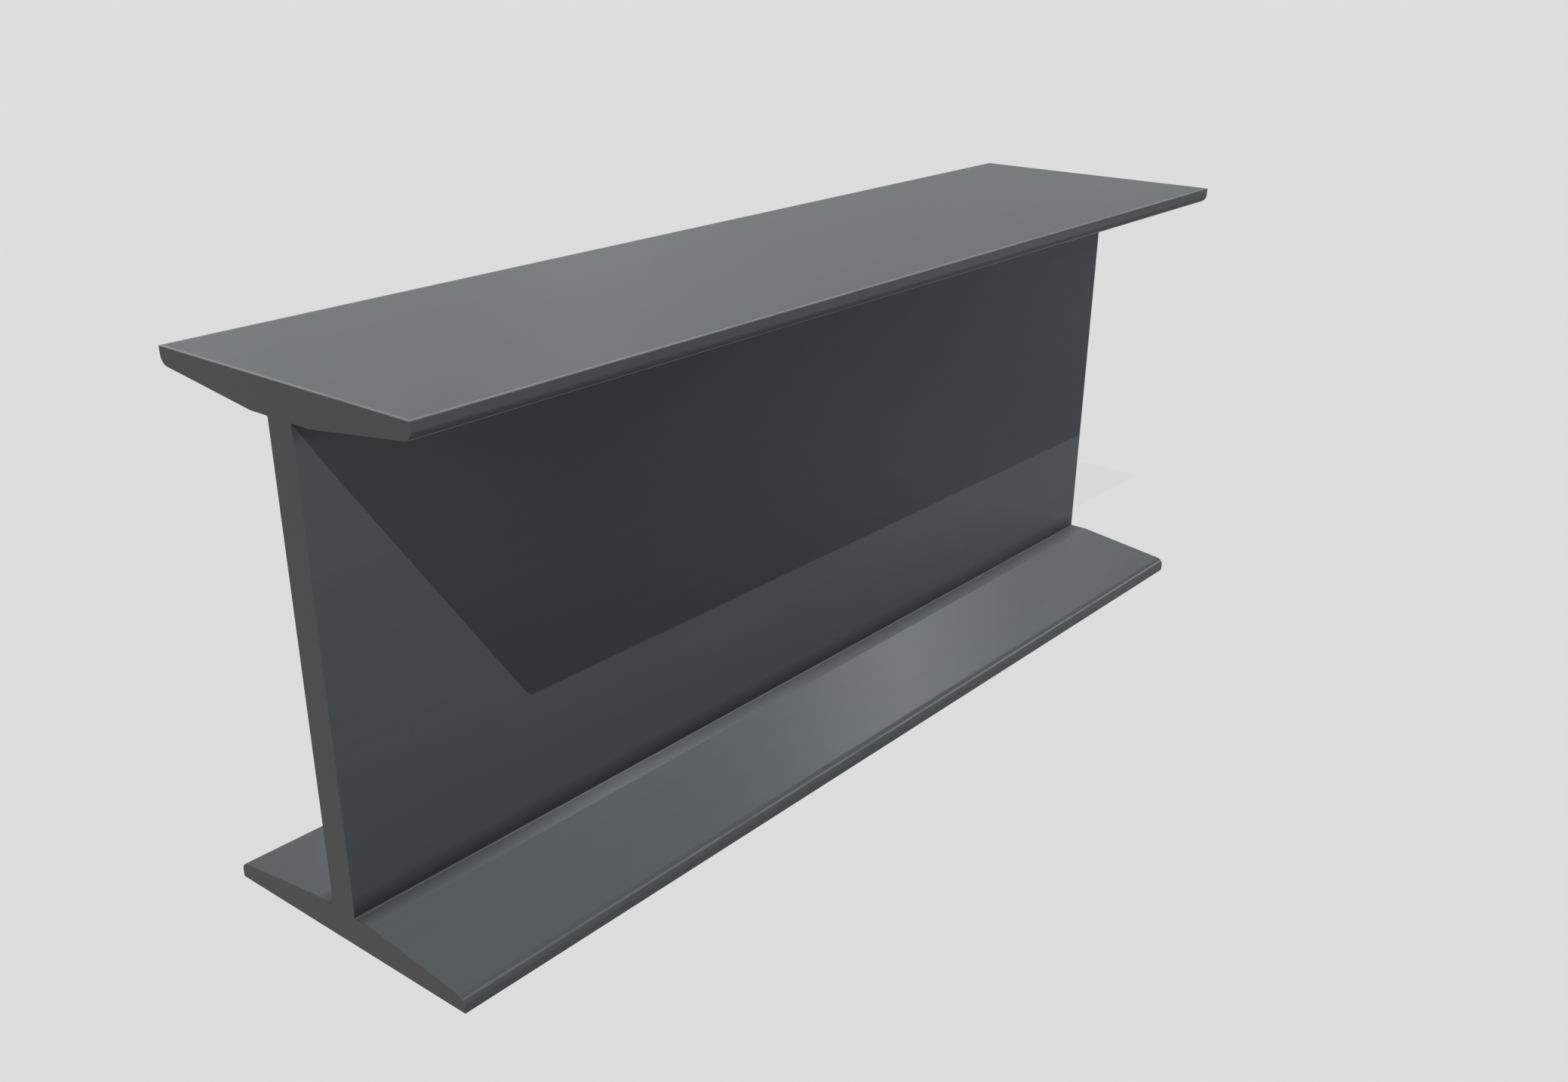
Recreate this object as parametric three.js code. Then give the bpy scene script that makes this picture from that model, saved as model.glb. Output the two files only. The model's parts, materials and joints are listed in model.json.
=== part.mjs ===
// Steel I-beam: a short saw-cut length of hot-rolled section with tapered flanges.
//
// One rolled piece, so one solid. Millimetres.
// +X runs along the beam, +Y across the flanges and +Z up the web.
// The origin is the centre of the underside.

import * as THREE from 'three';

// ---- Driving dimensions ----

const LENGTH = 366;           // between the two saw-cut ends
const DEPTH = 150;            // over the outer faces of both flanges
const FLANGE_WIDTH = 93;      // over the flange edges
const WEB_THICKNESS = 9.1;
const ROOT_THICKNESS = 9.1;   // of a flange, on the flat strip beside the web
const ROOT_FLAT = 6.6;        // width of that strip, out from the web face
const EDGE_THICKNESS = 4.6;   // of a flange, where its taper meets its edge

const ROOT_RADIUS = 0.3;      // hollow corner between the web and the flat strip
const TAPER_RADIUS = 3;       // bend where the flat strip turns into the taper
const TOE_RADIUS = 2.6;       // rounding on the inner corner of a flange edge
const HEEL_RADIUS = 0.4;      // small rounding on the outer corner of a flange edge
const END_CHAMFER = 0.2;      // deburred rim of each saw-cut end

const ARC_SEGMENTS = 3;       // half the number of facets on each rounding

// ---- The rolled section, in Y (across) and Z (up from mid-depth) ----

// The corners of one quarter, from the flange's outer corner in to the web.
function quarterCorners() {
  const halfWidth = FLANGE_WIDTH / 2;
  const halfDepth = DEPTH / 2;
  const halfWeb = WEB_THICKNESS / 2;
  return [
    { y: halfWidth, z: halfDepth, radius: HEEL_RADIUS },
    { y: halfWidth, z: halfDepth - EDGE_THICKNESS, radius: TOE_RADIUS },
    { y: halfWeb + ROOT_FLAT, z: halfDepth - ROOT_THICKNESS, radius: TAPER_RADIUS },
    { y: halfWeb, z: halfDepth - ROOT_THICKNESS, radius: ROOT_RADIUS },
  ];
}

// The quarter mirrored about both centre lines, anticlockwise all the way round.
function sectionCorners() {
  const quarter = quarterCorners();
  const reversed = quarter.slice().reverse();
  const mirrored = (corners, signY, signZ) =>
    corners.map(({ y, z, radius }) => ({ point: new THREE.Vector2(signY * y, signZ * z), radius }));
  return [
    ...mirrored(reversed, 1, 1),
    ...mirrored(quarter, -1, 1),
    ...mirrored(reversed, -1, -1),
    ...mirrored(quarter, 1, -1),
  ];
}

// A closed outline with a tangent arc at each corner. Where an edge is too short for the
// roundings at its two ends, both shrink until they fit.
function roundedShape(corners) {
  const LARGEST_SHARE = 0.98;   // of an edge that its two roundings may take
  const count = corners.length;
  const at = (index) => corners[(index + count) % count];

  const turns = corners.map(({ point }, i) => {
    const arriving = point.clone().sub(at(i - 1).point).normalize();
    const leaving = at(i + 1).point.clone().sub(point).normalize();
    return { arriving, leaving, angle: Math.atan2(arriving.cross(leaving), arriving.dot(leaving)) };
  });
  const reach = corners.map(({ radius }, i) => radius * Math.tan(Math.abs(turns[i].angle) / 2));
  const fit = corners.map(({ point }, i) => {
    const edge = point.distanceTo(at(i + 1).point);
    return Math.min(1, LARGEST_SHARE * edge / (reach[i] + reach[(i + 1) % count]));
  });

  const shape = new THREE.Shape();
  corners.forEach(({ point, radius }, i) => {
    const { arriving, leaving, angle } = turns[i];
    const shrink = Math.min(fit[i], fit[(i + count - 1) % count]);
    const side = Math.sign(angle);
    const start = point.clone().addScaledVector(arriving, -reach[i] * shrink);
    const inward = new THREE.Vector2(-arriving.y, arriving.x).multiplyScalar(side);
    const centre = start.clone().addScaledVector(inward, radius * shrink);
    const from = Math.atan2(start.y - centre.y, start.x - centre.x);
    shape.absarc(centre.x, centre.y, radius * shrink, from, from + angle, side < 0);
  });
  return shape;
}

// ---- The beam ----

// The section is drawn in the shape's own X and Y and pushed along its Z, between two
// chamfered ends. The bevel works inwards, so the section keeps its full size.
function beamGeometry() {
  return new THREE.ExtrudeGeometry(roundedShape(sectionCorners()), {
    depth: LENGTH - 2 * END_CHAMFER,
    steps: 1,
    curveSegments: ARC_SEGMENTS,
    bevelEnabled: true,
    bevelThickness: END_CHAMFER,
    bevelSize: END_CHAMFER,
    bevelOffset: -END_CHAMFER,
    bevelSegments: 1,
  });
}

// Dull grey rolled steel.
const rolledSteel = new THREE.MeshStandardMaterial({
  color: 0x6c7072,
  roughness: 0.6,
  metalness: 0.35,
});

const alongBeam = new THREE.Vector3(1, 0, 0);
const acrossFlanges = new THREE.Vector3(0, 1, 0);
const upWeb = new THREE.Vector3(0, 0, 1);

const beam = new THREE.Mesh(beamGeometry(), rolledSteel);
beam.name = 'i_beam';
beam.quaternion.setFromRotationMatrix(
  new THREE.Matrix4().makeBasis(acrossFlanges, upWeb, alongBeam),
);
beam.position.set(END_CHAMFER - LENGTH / 2, 0, DEPTH / 2);

const iBeam = new THREE.Group();
iBeam.add(beam);

export default iBeam;
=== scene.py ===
"""A saw-cut length of rolled steel I-beam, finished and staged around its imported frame."""

import json
import math

import bmesh
import bpy
from bpy.props import FloatProperty, FloatVectorProperty, IntProperty, PointerProperty
from bpy.types import Operator, Panel, PropertyGroup
from mathutils import Matrix, Vector


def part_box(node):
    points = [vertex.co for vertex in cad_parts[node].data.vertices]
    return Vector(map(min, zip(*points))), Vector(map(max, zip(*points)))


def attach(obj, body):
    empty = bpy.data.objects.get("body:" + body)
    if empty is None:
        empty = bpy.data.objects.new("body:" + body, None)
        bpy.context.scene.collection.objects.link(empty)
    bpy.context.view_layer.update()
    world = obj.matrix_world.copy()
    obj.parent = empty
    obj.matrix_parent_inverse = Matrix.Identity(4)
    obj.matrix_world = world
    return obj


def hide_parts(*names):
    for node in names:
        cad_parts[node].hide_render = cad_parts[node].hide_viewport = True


bl_info = {
    "name": "Rolled I-Beam",
    "version": (1, 0, 0),
    "blender": (4, 5, 0),
    "location": "3D View > Sidebar > I-Beam",
    "description": "Builds a saw-cut length of rolled steel I-beam and a plain stage for it",
    "category": "Object",
}

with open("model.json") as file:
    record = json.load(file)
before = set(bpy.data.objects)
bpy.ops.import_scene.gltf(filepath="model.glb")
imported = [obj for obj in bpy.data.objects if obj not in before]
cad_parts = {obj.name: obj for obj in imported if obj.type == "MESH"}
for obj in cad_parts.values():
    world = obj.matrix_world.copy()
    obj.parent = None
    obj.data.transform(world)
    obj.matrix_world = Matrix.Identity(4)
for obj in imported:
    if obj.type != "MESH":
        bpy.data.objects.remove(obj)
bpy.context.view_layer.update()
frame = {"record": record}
BEAM_LOW, BEAM_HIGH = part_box("i_beam")
MOUNTS = {mount["name"]: Vector(mount["pos_m"]) for mount in frame["record"]["mounts"]}

IMAGE_WIDTH, IMAGE_HEIGHT = 2078, 1434
SENSOR_WIDTH = 0.036
MM = 0.001
SAME_PLACE = 0.01 * MM    # points closer than this count as one
FACE_MARGIN = 1 * MM      # how far past a face its finish still applies
RIGHT_ANGLE = math.pi / 2
# attribute that carries the painted highlight on the toe ridges
RIDGE_HIGHLIGHT = "rubbed"


# ---- Settings ----


class BeamSize(PropertyGroup):
    """Sizes of the rolled section and of its cut length."""

    length: FloatProperty(
        name="Length", description="Between the two saw-cut ends",
        default=BEAM_HIGH.x - BEAM_LOW.x, unit="LENGTH",
    )
    depth: FloatProperty(
        name="Depth", description="Over the outer faces of both flanges",
        default=BEAM_HIGH.z - BEAM_LOW.z, unit="LENGTH",
    )
    flange_width: FloatProperty(
        name="Flange Width", description="Over the flange edges",
        default=BEAM_HIGH.y - BEAM_LOW.y, unit="LENGTH",
    )
    web_thickness: FloatProperty(
        name="Web Thickness", description="Between the two faces of the web",
        default=MOUNTS["web_back"].y - MOUNTS["web_front"].y, unit="LENGTH",
    )
    root_thickness: FloatProperty(
        name="Root Thickness", description="Of a flange, on the flat strip beside the web",
        default=9.1 * MM, unit="LENGTH",
    )
    root_flat: FloatProperty(
        name="Root Flat", description="Width of the flat strip beside the web",
        default=6.6 * MM, unit="LENGTH",
    )
    edge_thickness: FloatProperty(
        name="Edge Thickness", description="Of a flange, where its taper meets its edge",
        default=4.6 * MM, unit="LENGTH",
    )
    root_radius: FloatProperty(
        name="Root Radius", description="Of the hollow corner between web and flange",
        default=0.3 * MM, unit="LENGTH",
    )
    taper_radius: FloatProperty(
        name="Taper Radius", description="Of the bend where the flat strip becomes the taper",
        default=3 * MM, unit="LENGTH",
    )
    toe_radius: FloatProperty(
        name="Toe Radius", description="Of the inner corner of a flange edge",
        default=2.6 * MM, unit="LENGTH",
    )
    heel_radius: FloatProperty(
        name="Heel Radius", description="Of the outer corner of a flange edge",
        default=0.25 * MM, unit="LENGTH",
    )
    end_rounding: FloatProperty(
        name="End Rounding", description="Width of the deburred rim of a saw-cut end",
        default=0.2 * MM, unit="LENGTH",
    )
    rounding_facets: IntProperty(
        name="Rounding Facets", description="Facets across each long rounding",
        default=12, min=1,
    )
    end_facets: IntProperty(
        name="End Facets", description="Facets across the rim of a saw-cut end",
        default=3, min=1,
    )


class SteelFinish(PropertyGroup):
    """Colour and gloss of the mill scale, the sawn ends and the rubbed edges, with painted shade in the
    web's corners and painted highlights on the edges and toe ridges.
    """

    scale_colour: FloatVectorProperty(
        name="Scale Colour", description="Dull grey scale left by the rolling mill",
        default=(0.0915, 0.103, 0.1053), size=3, subtype="COLOR", min=0, max=1,
    )
    warm_colour: FloatVectorProperty(
        name="Warm Colour", description="Scale in the patches that lean to brown",
        default=(0.096, 0.1025, 0.1045), size=3, subtype="COLOR", min=0, max=1,
    )
    cut_colour: FloatVectorProperty(
        name="Cut Colour", description="Steel laid bare by the saw",
        default=(0.1, 0.103, 0.1035), size=3, subtype="COLOR", min=0, max=1,
    )
    # Rubbed edges are partly real wear and partly painted highlight: this colour paints the bright line
    # along the flanges' outer edges and the highlight on the toe ridges.
    rub_and_highlight_colour: FloatVectorProperty(
        name="Rubbed Colour", description="Steel rubbed bright along the edges",
        default=(0.36, 0.37, 0.365), size=3, subtype="COLOR", min=0, max=1,
    )
    rub_and_highlight_reach: FloatProperty(
        name="Rubbed Reach", description="How far the rubbing spreads in from a flange's outer edges",
        default=1 * MM, unit="LENGTH",
    )
    arris_rub_and_highlight: FloatProperty(
        name="Arris Rub", description="How bright a flange's outer edges are rubbed",
        default=0.4, subtype="FACTOR", min=0, max=1,
    )
    # Painted highlight on the toe ridges: its strength at the near and the far end, and which facets
    # carry it.
    upper_ridge_highlight: FloatVectorProperty(
        name="Upper Rub", description="How bright the upper inner roundings are rubbed, at each end",
        default=(0.8, 0.8), size=2, subtype="NONE", min=0, max=1,
    )
    lower_ridge_highlight: FloatVectorProperty(
        name="Lower Rub", description="How bright the lower inner roundings are rubbed, at each end",
        default=(0.2, 0.55), size=2, subtype="NONE", min=0, max=1,
    )
    upper_highlight_facets: FloatVectorProperty(
        name="Upper Ridge", description="Least and most that the upper rubbed facets face downwards",
        default=(0.76, 0.88), size=2, subtype="NONE", min=0, max=1,
    )
    lower_highlight_facets: FloatVectorProperty(
        name="Lower Ridge", description="Least and most that the lower rubbed facets face upwards",
        default=(0.58, 0.75), size=2, subtype="NONE", min=0, max=1,
    )
    streaks: FloatProperty(
        name="Streaks", description="How far the colour changes between rolling streaks",
        default=0.015, subtype="FACTOR", min=0, max=1,
    )
    # Painted shade: a darker colour in the corners between web and flanges stands in for the shade that
    # falls there. The gap keeps it off the flat strip right beside the web.
    root_shade_colour: FloatVectorProperty(
        name="Root Colour", description="Darker scale gathered in the corners of the web",
        default=(0.037, 0.038, 0.039), size=3, subtype="COLOR", min=0, max=1,
    )
    root_shade_reach: FloatProperty(
        name="Root Reach", description="How far the darker scale spreads from a corner",
        default=6 * MM, unit="LENGTH",
    )
    root_shade_gap: FloatVectorProperty(
        name="Root Gap", description="Out from the web, where a flange's darker scale starts and is full",
        default=(0.4 * MM, 1 * MM), size=2, subtype="NONE", unit="LENGTH", precision=6,
    )
    grain_depth: FloatProperty(
        name="Grain Depth", description="Height of the fine grain in the scale",
        default=0.02 * MM, unit="LENGTH", precision=6,
    )
    cut_depth: FloatProperty(
        name="Cut Depth", description="Height of the marks that the saw left",
        default=0.02 * MM, unit="LENGTH", precision=6,
    )
    cut_slant: FloatProperty(
        name="Cut Slant", description="How far the saw marks lean from level",
        default=math.radians(8), subtype="ANGLE", unit="ROTATION",
    )
    roughness: FloatProperty(
        name="Roughness", description="Of the bare scale",
        default=0.55, subtype="FACTOR", min=0, max=1,
    )
    specular: FloatProperty(
        name="Specular", description="Strength of the scale's own reflection",
        default=0.04, subtype="FACTOR", min=0, max=1,
    )
    oil_film: FloatProperty(
        name="Oil Film", description="How much of a thin film of oil lies on the steel",
        default=0.1, subtype="FACTOR", min=0, max=1,
    )
    oil_roughness: FloatProperty(
        name="Oil Roughness", description="Of the film of oil",
        default=0.28, subtype="FACTOR", min=0, max=1,
    )


class StageSettings(PropertyGroup):
    """Camera, lamps and floor."""

    camera_place: FloatVectorProperty(
        name="Camera Place", description="Where the camera stands",
        default=(-0.3751, -0.2981, 0.2469), size=3, subtype="TRANSLATION", unit="LENGTH",
    )
    camera_heading: FloatProperty(
        name="Camera Heading", description="From +X towards +Y",
        default=math.radians(40.118), subtype="ANGLE", unit="ROTATION",
    )
    camera_dip: FloatProperty(
        name="Camera Dip", description="How far the camera looks down",
        default=math.radians(25.421), subtype="ANGLE", unit="ROTATION",
    )
    focal_pixels: FloatProperty(
        name="Focal Length", description="In pixels of the full image",
        default=2093.9, subtype="PIXEL",
    )
    image_centre: FloatVectorProperty(
        name="Optical Centre", description="Where the lens axis meets the full image, in pixels",
        default=(990.1, 853.1), size=2, subtype="NONE",
    )
    key_heading: FloatProperty(
        name="Key Heading", description="Way the key light travels, from +X towards +Y",
        default=math.radians(32.85), subtype="ANGLE", unit="ROTATION",
    )
    key_dip: FloatProperty(
        name="Key Dip", description="How steeply the key light falls",
        default=math.radians(52), subtype="ANGLE", unit="ROTATION",
    )
    key_angle: FloatProperty(
        name="Key Angle", description="How wide the key light is, which softens its shadow's edge",
        default=math.radians(0.15), subtype="ANGLE", unit="ROTATION",
    )
    key_colour: FloatVectorProperty(
        name="Key Colour", description="Of the key light",
        default=(1, 1, 1), size=3, subtype="COLOR", min=0, max=1,
    )
    key_strength: FloatProperty(
        name="Key Strength", description="Of the light that throws the web's shadow", default=2.43,
    )
    fill_angle: FloatProperty(
        name="Fill Angle", description="How wide each sheen light and rim light is",
        default=math.radians(3), subtype="ANGLE", unit="ROTATION",
    )
    sheen_headings: FloatVectorProperty(
        name="Sheen Headings", description="Ways the sheen lights travel, from +X towards +Y",
        default=tuple(math.radians(turn) for turn in (123, 147, 152)),
        size=3, subtype="NONE", unit="ROTATION",
    )
    sheen_dips: FloatVectorProperty(
        name="Sheen Dips", description="How steeply the sheen lights fall; below 0, they rise",
        default=tuple(math.radians(dip) for dip in (-18, -19, -12.5)),
        size=3, subtype="NONE", unit="ROTATION",
    )
    sheen_colour: FloatVectorProperty(
        name="Sheen Colour", description="Of the sheen lights",
        default=(0.96, 0.9, 1), size=3, subtype="COLOR", min=0, max=1,
    )
    sheen_strengths: FloatVectorProperty(
        name="Sheen Strengths", description="Of the low lights that give the web its soft sheen",
        default=(0.17, 0.066, 0.06), size=3, subtype="NONE",
    )
    rim_headings: FloatVectorProperty(
        name="Rim Headings", description="Ways the rim lights travel, from +X towards +Y",
        default=tuple(math.radians(180 + turn) for turn in (26.5, 22, 38, 46, 55, 60)),
        size=6, subtype="NONE", unit="ROTATION",
    )
    rim_dips: FloatVectorProperty(
        name="Rim Dips", description="How steeply the rim lights fall",
        default=tuple(math.radians(dip) for dip in (34.7, 33, 31, 28, 24, 18)),
        size=6, subtype="NONE", unit="ROTATION",
    )
    rim_colour: FloatVectorProperty(
        name="Rim Colour", description="Of the rim lights",
        default=(0.93, 0.98, 1), size=3, subtype="COLOR", min=0, max=1,
    )
    rim_strengths: FloatVectorProperty(
        name="Rim Strengths", description="Of the lights that glint along the flanges",
        default=(0.41, 0.07, 0.12, 0.28, 0.1, 0.05), size=6, subtype="NONE",
    )
    ambient_colour: FloatVectorProperty(
        name="Ambient Colour", description="Of the even light from all round",
        default=(0.169, 0.158, 0.163), size=3, subtype="COLOR", min=0, max=1,
    )
    floor_radius: FloatProperty(
        name="Floor Radius", description="Of the round floor", default=30, unit="LENGTH",
    )
    backdrop_colour: FloatVectorProperty(
        name="Backdrop Colour", description="Pale grey seen all round the beam",
        default=(0.723, 0.723, 0.723), size=3, subtype="COLOR", min=0, max=1,
    )
    floor_glow: FloatVectorProperty(
        name="Floor Glow", description="The part of the floor's look that a shadow leaves alone",
        default=(0.686, 0.686, 0.686), size=3, subtype="COLOR", min=0, max=1,
    )
    floor_shade: FloatVectorProperty(
        name="Floor Shade", description="The part of the floor's look that takes the shadow",
        default=(0.04, 0.04, 0.04), size=3, subtype="COLOR", min=0, max=1,
    )
    floor_colour: FloatVectorProperty(
        name="Floor Colour", description="Of the light that the floor throws back on the beam",
        default=(0.25, 0.25, 0.25), size=3, subtype="COLOR", min=0, max=1,
    )


# ---- Meshes ----


def add_object(name, data):
    """A new object at the scene's origin that holds this mesh, lens or lamp."""
    added = bpy.data.objects.new(name, data)
    bpy.context.scene.collection.objects.link(added)
    return added


def add_mesh(name, bm, materials):
    """Turns a finished bmesh into an object."""
    mesh = bpy.data.meshes.new(name)
    bm.to_mesh(mesh)
    bm.free()
    for material in materials:
        mesh.materials.append(material)
    return add_object(name, mesh)


def quarter_corners(size):
    """The corners of a quarter of the section about mid-depth, from a flange's outer one inwards.

    Each is its place across and up, the radius of its rounding and the angle that it turns.
    """
    half_width = size.flange_width / 2
    half_depth = size.depth / 2
    half_web = size.web_thickness / 2
    toe_z = half_depth - size.edge_thickness
    root_z = half_depth - size.root_thickness
    strip_end = half_web + size.root_flat
    taper = math.atan2(size.root_thickness - size.edge_thickness, half_width - strip_end)
    return [
        (half_width, half_depth, size.heel_radius, RIGHT_ANGLE),
        (half_width, toe_z, size.toe_radius, RIGHT_ANGLE - taper),
        (strip_end, root_z, size.taper_radius, taper),
        (half_web, root_z, size.root_radius, RIGHT_ANGLE),
    ]


def section_face(bm, size):
    """Draws a quarter of the section about mid-depth and mirrors it into the whole face."""
    outline = [
        (0, 0),
        (0, size.depth / 2),
        *(corner[:2] for corner in quarter_corners(size)),
        (size.web_thickness / 2, 0),
    ]
    bm.faces.new([bm.verts.new((-size.length / 2, y, z)) for y, z in outline])
    for axis in ("Y", "Z"):
        whole = bm.verts[:] + bm.edges[:] + bm.faces[:]
        bmesh.ops.mirror(bm, geom=whole, matrix=Matrix(), merge_dist=SAME_PLACE, axis=axis)
    bmesh.ops.recalc_face_normals(bm, faces=bm.faces)
    bmesh.ops.dissolve_faces(bm, faces=bm.faces[:], use_verts=True)


def extrude_along_beam(bm, size):
    """Pushes the section out to the beam's far end."""
    pushed = bmesh.ops.extrude_face_region(bm, geom=bm.faces[:])["geom"]
    far_end = [item for item in pushed if isinstance(item, bmesh.types.BMVert)]
    bmesh.ops.translate(bm, verts=far_end, vec=(size.length, 0, 0))
    bmesh.ops.recalc_face_normals(bm, faces=bm.faces)


def long_edges(bm, y, z):
    """The edges along the beam at this corner of all four quarters."""
    found = []
    for edge in bm.edges:
        first, last = (vert.co for vert in edge.verts)
        in_line = (first - last).yz.length < SAME_PLACE
        offset = Vector((abs(first.y) - y, abs(first.z) - z)).length
        if in_line and offset < SAME_PLACE:
            found.append(edge)
    return found


def round_edges(bm, edges, width, facets):
    """Rounds edges, starting this far to each side of them."""
    bmesh.ops.bevel(
        bm, geom=edges, offset=width, offset_type="OFFSET", affect="EDGES",
        segments=facets, profile=0.5, material=-1, clamp_overlap=True,
    )


def round_section(bm, size):
    """Rounds the long corners of the section, from the web outwards."""
    for y, z, radius, turn in reversed(quarter_corners(size)):
        edges = long_edges(bm, y, z)
        round_edges(bm, edges, radius * math.tan(turn / 2), size.rounding_facets)


def round_ends(bm, size):
    """Rounds the rim of both saw-cut ends."""
    at_end = size.length / 2 - SAME_PLACE
    rim = [edge for edge in bm.edges if abs(sum(vert.co.x for vert in edge.verts)) / 2 > at_end]
    round_edges(bm, rim, size.end_rounding, size.end_facets)


def mark_faces(bm, size, finish):
    """Gives the sawn ends their own finish and marks the toe ridges that carry a painted highlight."""
    rubbed = bm.loops.layers.float.new(RIDGE_HIGHLIGHT)
    for face in bm.faces:
        centre = face.calc_center_median()
        sawn = abs(centre.x) > size.length / 2 - SAME_PLACE
        face.material_index = 1 if sawn else 0
        at_edge = abs(centre.y) > size.flange_width / 2 - size.toe_radius
        inside_heels = abs(centre.z) < size.depth / 2 - size.heel_radius
        low, high = finish.upper_highlight_facets if centre.z > 0 else finish.lower_highlight_facets
        ridge = at_edge and inside_heels and low < abs(face.normal.z) < high
        first, last = finish.upper_ridge_highlight if centre.z > 0 else finish.lower_ridge_highlight
        for loop in face.loops:
            along = loop.vert.co.x / size.length + 0.5
            # painted highlight, stronger towards the far end
            loop[rubbed] = first + (last - first) * along if ridge else 0


# ---- Materials ----


def add_node(tree, kind, **values):
    """Adds a node and sets its properties, or its inputs where a name starts with a capital."""
    node = tree.nodes.new(kind)
    for name, value in values.items():
        if name[0].isupper():
            node.inputs[name.replace("_", " ")].default_value = value
        else:
            setattr(node, name, value)
    return node


def steel_material(name, finish):
    """A new material with the gloss that all the steel shares, and its node tree."""
    material = bpy.data.materials.new(name)
    material.use_nodes = True
    tree = material.node_tree
    shader = tree.nodes["Principled BSDF"]
    shader.inputs["Roughness"].default_value = finish.roughness
    shader.inputs["Specular IOR Level"].default_value = finish.specular
    shader.inputs["Coat Weight"].default_value = finish.oil_film
    shader.inputs["Coat Roughness"].default_value = finish.oil_roughness
    return material, tree


def feed(tree, value, socket):
    """Links an output to this input, or sets the input to a plain number or colour."""
    if isinstance(value, bpy.types.NodeSocket):
        tree.links.new(value, socket)
    elif socket.type == "RGBA":
        socket.default_value = (*value, 1)
    else:
        socket.default_value = value


def pattern(tree, place, per_metre, detail):
    """Noise about 0.5 that repeats this often per metre along each axis."""
    stretch = add_node(tree, "ShaderNodeMapping", Scale=per_metre)
    noise = add_node(tree, "ShaderNodeTexNoise", Scale=1, Detail=detail)
    tree.links.new(place, stretch.inputs["Vector"])
    tree.links.new(stretch.outputs[0], noise.inputs["Vector"])
    return noise.outputs[0]


def calculate(tree, operation, first, second=0.0):
    """One Math node, fed by sockets or numbers."""
    maths = add_node(tree, "ShaderNodeMath", operation=operation)
    feed(tree, first, maths.inputs[0])
    feed(tree, second, maths.inputs[1])
    return maths.outputs[0]


def spread(tree, value, low, high):
    """Stretches a value so that low becomes 0 and high becomes 1, and clamps it."""
    step = add_node(tree, "ShaderNodeMapRange", From_Min=low, From_Max=high)
    tree.links.new(value, step.inputs["Value"])
    return step.outputs[0]


def blend(tree, factor, first, second):
    """Mixes two colours, each a socket or a plain colour."""
    mix = add_node(tree, "ShaderNodeMix", data_type="RGBA")
    colours = [socket for socket in mix.inputs if socket.type == "RGBA"]
    for value, socket in zip((factor, first, second), (mix.inputs["Factor"], *colours)):
        feed(tree, value, socket)
    return next(socket for socket in mix.outputs if socket.type == "RGBA")


def streaked(tree, colour, streaks, change):
    """A colour made up to this share darker and lighter by a pattern of 0 to 1."""
    level = add_node(tree, "ShaderNodeMapRange", To_Min=1 - change, To_Max=1 + change)
    scaled = add_node(tree, "ShaderNodeVectorMath", operation="SCALE")
    tree.links.new(streaks, level.inputs["Value"])
    tree.links.new(level.outputs[0], scaled.inputs["Scale"])
    feed(tree, colour, scaled.inputs[0])
    return scaled.outputs[0]


def from_middle(tree, place, size):
    """How far a point is from the middle of the beam: along it, across it, and up or down."""
    axes = add_node(tree, "ShaderNodeSeparateXYZ")
    tree.links.new(place, axes.inputs[0])
    up = calculate(tree, "SUBTRACT", axes.outputs["Z"], size.depth / 2)
    ways = (axes.outputs["X"], axes.outputs["Y"], up)
    return [calculate(tree, "ABSOLUTE", way) for way in ways]


def root_shade_closeness(tree, across, up, size, finish):
    """1 in the corners between web and flanges, down to 0 where their painted shade ends."""
    reach = finish.root_shade_reach
    inner_height = size.depth / 2 - size.root_thickness
    off_flange = calculate(tree, "SUBTRACT", inner_height, up)
    off_web = calculate(tree, "SUBTRACT", across, size.web_thickness / 2)
    on_web = calculate(tree, "LESS_THAN", off_web, size.root_radius / 2)
    web = calculate(tree, "MULTIPLY", spread(tree, off_flange, low=reach, high=0), on_web)
    past_gap = spread(tree, off_web, *finish.root_shade_gap)
    strip = calculate(tree, "MINIMUM", past_gap, spread(tree, off_web, low=reach, high=0))
    inside = calculate(tree, "LESS_THAN", up, inner_height + FACE_MARGIN)
    return calculate(tree, "MULTIPLY", calculate(tree, "MAXIMUM", web, strip), inside)


def arris_closeness(tree, along, across, up, size, reach):
    """1 on the outer edges of both flanges, down to 0 this far in from them."""
    from_end = calculate(tree, "SUBTRACT", size.length / 2, along)
    from_edge = calculate(tree, "SUBTRACT", size.flange_width / 2, across)
    away = calculate(tree, "MINIMUM", from_end, from_edge)
    outer = calculate(tree, "GREATER_THAN", up, size.depth / 2 - size.heel_radius)
    edge = spread(tree, away, low=reach, high=reach / 2)
    return calculate(tree, "MULTIPLY", edge, outer)


def rubbing(tree, place, arris, finish):
    """How bright the steel is made: a painted highlight on the marked toe ridges, and rubbed wear with a
    painted highlight along the arrises, with a few gaps.
    """
    ridge = add_node(tree, "ShaderNodeAttribute", attribute_name=RIDGE_HIGHLIGHT).outputs["Fac"]
    fainter = calculate(tree, "MULTIPLY", arris, finish.arris_rub_and_highlight)
    gaps = spread(tree, pattern(tree, place, (40, 40, 40), detail=3), low=0.1, high=0.5)
    return calculate(tree, "MULTIPLY", calculate(tree, "MAXIMUM", ridge, fainter), gaps)


def dress(tree, colour, height, depth):
    """Puts a colour and a relief, a pattern of 0 to 1 this deep, on the shader."""
    shader = tree.nodes["Principled BSDF"]
    relief = add_node(tree, "ShaderNodeBump", Strength=1, Distance=depth)
    tree.links.new(colour, shader.inputs["Base Color"])
    tree.links.new(height, relief.inputs["Height"])
    tree.links.new(relief.outputs[0], shader.inputs["Normal"])
    tree.links.new(relief.outputs[0], shader.inputs["Coat Normal"])


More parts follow.
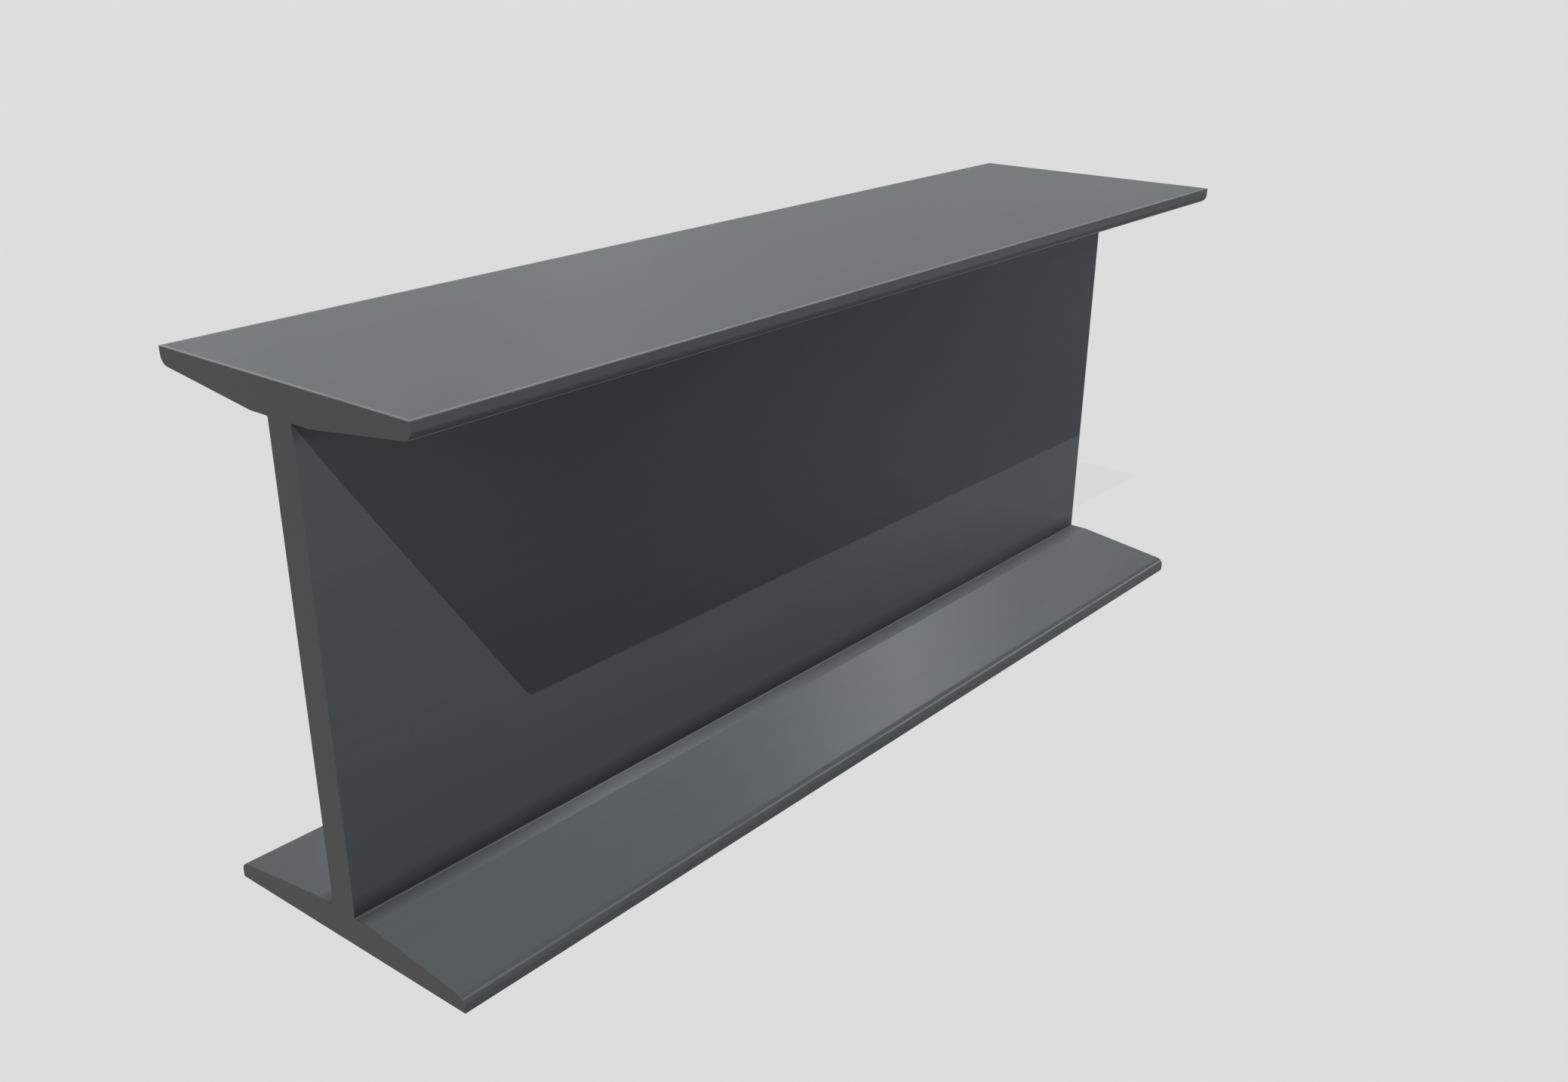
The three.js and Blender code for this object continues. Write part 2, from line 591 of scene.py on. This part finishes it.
def mill_scale(size, finish):
    """The skin of the rolled faces: faint patches and streaks, painted shade in the roots, and rubbed
    edges that also carry a painted highlight.
    """
    material, tree = steel_material("mill_scale", finish)
    place = add_node(tree, "ShaderNodeTexCoord").outputs["Object"]
    along, across, up = from_middle(tree, place, size)
    patches = spread(tree, pattern(tree, place, (9, 22, 22), detail=3), low=0.45, high=0.7)
    streaks = spread(tree, pattern(tree, place, (3, 260, 260), detail=2), low=0.3, high=0.7)
    grain = pattern(tree, place, (700, 1400, 1400), detail=2)
    root = root_shade_closeness(tree, across, up, size, finish)
    arris = arris_closeness(tree, along, across, up, size, finish.rub_and_highlight_reach)
    colour = blend(tree, patches, finish.scale_colour, finish.warm_colour)
    colour = streaked(tree, colour, streaks, finish.streaks)
    # painted shade in the corners between web and flanges
    colour = blend(tree, root, colour, finish.root_shade_colour)
    # painted highlight on the toe ridges, and rubbed wear with a painted highlight along the arrises
    colour = blend(tree, rubbing(tree, place, arris, finish), colour, finish.rub_and_highlight_colour)
    dress(tree, colour, grain, finish.grain_depth)
    return material


def saw_cut(finish):
    """The sawn ends: bare steel with fine, slightly slanting saw marks."""
    material, tree = steel_material("saw_cut", finish)
    place = add_node(tree, "ShaderNodeTexCoord").outputs["Object"]
    slant = add_node(tree, "ShaderNodeMapping", Rotation=(finish.cut_slant, 0, 0))
    tree.links.new(place, slant.inputs["Vector"])
    marks = pattern(tree, slant.outputs[0], (1, 12, 600), detail=2)
    shades = spread(tree, marks, low=0.3, high=0.7)
    colour = streaked(tree, finish.cut_colour, shades, finish.streaks)
    dress(tree, colour, marks, finish.cut_depth)
    return material


def backdrop_ray(tree):
    """1 for rays that should see the plain backdrop: camera, glossy and transmission rays."""
    path = add_node(tree, "ShaderNodeLightPath")
    seen = path.outputs["Is Camera Ray"]
    for ray in ("Is Glossy Ray", "Is Transmission Ray"):
        seen = calculate(tree, "MAXIMUM", seen, path.outputs[ray])
    return seen


def floor_material(stage):
    """Pale with a faint shadow where it is seen, and greyer in the light that it throws back."""
    material = bpy.data.materials.new("pale_floor")
    material.use_nodes = True
    tree = material.node_tree
    tree.nodes.clear()
    glow = add_node(tree, "ShaderNodeEmission", Color=(*stage.floor_glow, 1))
    shaded = add_node(tree, "ShaderNodeBsdfDiffuse", Color=(*stage.floor_shade, 1))
    shown = add_node(tree, "ShaderNodeAddShader")
    bounce = add_node(tree, "ShaderNodeBsdfDiffuse", Color=(*stage.floor_colour, 1))
    choice = add_node(tree, "ShaderNodeMixShader")
    output = add_node(tree, "ShaderNodeOutputMaterial")
    tree.links.new(glow.outputs[0], shown.inputs[0])
    tree.links.new(shaded.outputs[0], shown.inputs[1])
    tree.links.new(backdrop_ray(tree), choice.inputs[0])
    tree.links.new(bounce.outputs[0], choice.inputs[1])
    tree.links.new(shown.outputs[0], choice.inputs[2])
    tree.links.new(choice.outputs[0], output.inputs["Surface"])
    return material


# ---- Stage ----


def facing(heading, dip):
    """Rotation of a camera or lamp that looks along a heading, and down by a dip."""
    direction = Vector((
        math.cos(dip) * math.cos(heading), math.cos(dip) * math.sin(heading), -math.sin(dip),
    ))
    return direction.to_track_quat("-Z", "Y").to_matrix().to_4x4()


def add_camera(stage):
    """The camera, with its lens shifted to where the optical centre lies in the image."""
    lens = bpy.data.cameras.new("camera")
    lens.sensor_fit = "HORIZONTAL"
    lens.sensor_width = SENSOR_WIDTH / MM
    lens.lens = lens.sensor_width * stage.focal_pixels / IMAGE_WIDTH
    lens.shift_x = (IMAGE_WIDTH / 2 - stage.image_centre[0]) / IMAGE_WIDTH
    lens.shift_y = (stage.image_centre[1] - IMAGE_HEIGHT / 2) / IMAGE_WIDTH
    lens.clip_start = 10 * MM
    camera = add_object("camera", lens)
    aim = facing(stage.camera_heading, stage.camera_dip)
    camera.matrix_world = Matrix.Translation(stage.camera_place) @ aim
    bpy.context.scene.camera = camera


def add_sun(name, heading, dip, strength, colour, angle, shadow):
    """A sun lamp whose light travels along a heading, and down by a dip."""
    lamp = bpy.data.lights.new(name, "SUN")
    lamp.color = colour
    lamp.energy = strength
    lamp.angle = angle
    lamp.use_shadow = shadow
    add_object(name, lamp).matrix_world = facing(heading, dip)


def add_world(stage):
    """Even light from all round, and the plain backdrop that rays see in its place."""
    world = bpy.data.worlds.new("studio")
    bpy.context.scene.world = world
    world.use_nodes = True
    tree = world.node_tree
    tree.nodes.clear()
    ambient = add_node(tree, "ShaderNodeBackground", Color=(*stage.ambient_colour, 1))
    backdrop = add_node(tree, "ShaderNodeBackground", Color=(*stage.backdrop_colour, 1))
    choice = add_node(tree, "ShaderNodeMixShader")
    output = add_node(tree, "ShaderNodeOutputWorld")
    tree.links.new(backdrop_ray(tree), choice.inputs[0])
    tree.links.new(ambient.outputs[0], choice.inputs[1])
    tree.links.new(backdrop.outputs[0], choice.inputs[2])
    tree.links.new(choice.outputs[0], output.inputs["Surface"])


def add_floor(stage):
    """A round floor that reaches far past the beam on every side."""
    bm = bmesh.new()
    bmesh.ops.create_circle(bm, cap_ends=True, radius=stage.floor_radius, segments=96)
    floor = add_mesh("floor", bm, [floor_material(stage)])


# ---- Operators ----


class IBEAM_OT_roll_beam(Operator):
    """Build the beam as one rolled piece with sawn ends"""

    bl_idname = "ibeam.roll_beam"
    bl_label = "Roll Beam"

    def execute(self, context):
        size = context.scene.ibeam_size
        finish = context.scene.ibeam_finish
        bm = bmesh.new()
        section_face(bm, size)
        extrude_along_beam(bm, size)
        round_section(bm, size)
        round_ends(bm, size)
        mark_faces(bm, size, finish)
        bmesh.ops.translate(bm, verts=bm.verts, vec=(0, 0, size.depth / 2))
        bmesh.ops.recalc_face_normals(bm, faces=bm.faces)
        for face in bm.faces:
            face.smooth = True
        beam = add_mesh("rolled_beam", bm, [mill_scale(size, finish), saw_cut(finish)])
        weigh = beam.modifiers.new("flat_faces_stay_flat", "WEIGHTED_NORMAL")
        weigh.weight = 100    # as much as it can, the largest face decides
        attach(beam, "root")
        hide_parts("i_beam")
        return {"FINISHED"}


class IBEAM_OT_set_stage(Operator):
    """Set up the floor, the lamps, the backdrop and the camera"""

    bl_idname = "ibeam.set_stage"
    bl_label = "Set Stage"

    def execute(self, context):
        stage = context.scene.ibeam_stage
        add_floor(stage)
        add_world(stage)
        key = (stage.key_heading, stage.key_dip, stage.key_strength)
        add_sun("key", *key, stage.key_colour, stage.key_angle, shadow=True)
        for sheen in zip(stage.sheen_headings, stage.sheen_dips, stage.sheen_strengths):
            add_sun("sheen", *sheen, stage.sheen_colour, stage.fill_angle, shadow=False)
        for rim in zip(stage.rim_headings, stage.rim_dips, stage.rim_strengths):
            add_sun("rim", *rim, stage.rim_colour, stage.fill_angle, shadow=False)
        add_camera(stage)
        context.scene.view_settings.view_transform = "Standard"
        return {"FINISHED"}


class IBEAM_PT_panel(Panel):
    """Lists the steps that build the beam and its stage"""

    bl_idname = "IBEAM_PT_panel"
    bl_label = "I-Beam"
    bl_space_type = "VIEW_3D"
    bl_region_type = "UI"
    bl_category = "I-Beam"

    def draw(self, context):
        for operator in OPERATORS:
            self.layout.operator(operator.bl_idname)
        for group in SETTINGS:
            settings = getattr(context.scene, group)
            box = self.layout.box()
            for name in settings.__annotations__:
                box.prop(settings, name)


SETTINGS = {"ibeam_size": BeamSize, "ibeam_finish": SteelFinish, "ibeam_stage": StageSettings}
OPERATORS = (IBEAM_OT_roll_beam, IBEAM_OT_set_stage)
CLASSES = (*SETTINGS.values(), *OPERATORS, IBEAM_PT_panel)


def register():
    for cls in CLASSES:
        bpy.utils.register_class(cls)
    for name, group in SETTINGS.items():
        setattr(bpy.types.Scene, name, PointerProperty(type=group))


def unregister():
    for name in SETTINGS:
        delattr(bpy.types.Scene, name)
    for cls in reversed(CLASSES):
        bpy.utils.unregister_class(cls)


def main():
    register()
    bpy.ops.ibeam.roll_beam()
    bpy.ops.ibeam.set_stage()


if __name__ == "__main__":
    main()
